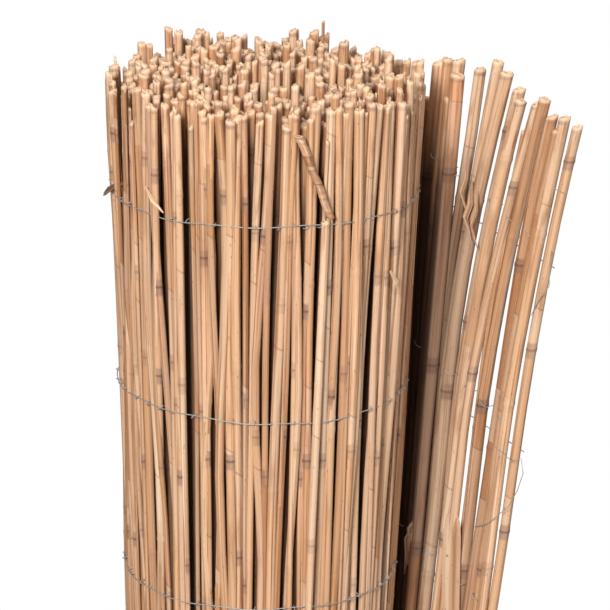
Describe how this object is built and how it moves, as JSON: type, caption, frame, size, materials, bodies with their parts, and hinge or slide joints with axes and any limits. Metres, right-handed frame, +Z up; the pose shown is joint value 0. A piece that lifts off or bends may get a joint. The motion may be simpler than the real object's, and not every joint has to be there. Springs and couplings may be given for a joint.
{
  "type": "reed screening mat",
  "caption": "Rolled mat of dry reeds bound with rows of galvanised wire, standing on its end with its outer end sprung open, for screening a fence or balcony.",
  "frame": {"origin": "on the roll's axis, on the floor that the reeds' lower ends stand on", "axes": "+Z up along the reeds, +X towards the side where the open end stands, -Y towards the picture's viewer"},
  "size_m": [0.374, 0.26, 1.0013],
  "materials": {
    "reed": "dry straw, dull satin",
    "wire": "dull galvanised"
  },
  "bodies": {
    "root": {"rolled_reeds": "reed", "loose_end_reeds": "reed", "line_wire_1": "wire", "line_wire_2": "wire", "line_wire_3": "wire", "line_wire_4": "wire", "line_wire_5": "wire", "line_wire_6": "wire", "stitch_wire_1": "wire", "stitch_wire_2": "wire", "stitch_wire_3": "wire", "stitch_wire_4": "wire", "stitch_wire_5": "wire", "stitch_wire_6": "wire"}
  },
  "joints": []
}
